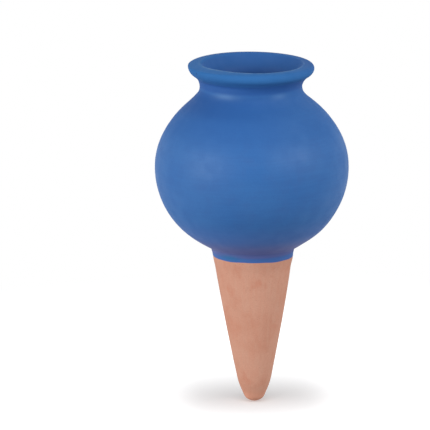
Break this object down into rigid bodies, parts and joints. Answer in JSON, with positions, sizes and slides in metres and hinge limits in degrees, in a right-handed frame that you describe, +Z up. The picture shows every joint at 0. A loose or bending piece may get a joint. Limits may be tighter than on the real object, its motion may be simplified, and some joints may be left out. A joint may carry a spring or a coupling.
{
  "type": "self watering spike",
  "caption": "Round clay water reservoir with an open flared neck, painted matt blue, luted onto a hollow bare terracotta cone that seeps water into the soil.",
  "frame": {"origin": "on the axis at the soil line, which is the paint's lower edge, 50 mm above the tip", "axes": "+Z up along the axis, out of the mouth; the part is round, so X and Y are any two level directions square to each other"},
  "size_m": [0.0646, 0.0646, 0.1154],
  "materials": {
    "terracotta": "bare fired terracotta, unglazed and matt, with faint streaks and pores",
    "slip": "the same clay as slip, wiped smooth and fired, unglazed",
    "blue_paint": "matt waterproof blue paint, sprayed on the fired clay, thin and slightly uneven"
  },
  "bodies": {
    "root": {"spike": "terracotta", "reservoir_bowl": "terracotta", "joint_slip": "slip", "colour_coat": "blue_paint"}
  },
  "joints": []
}
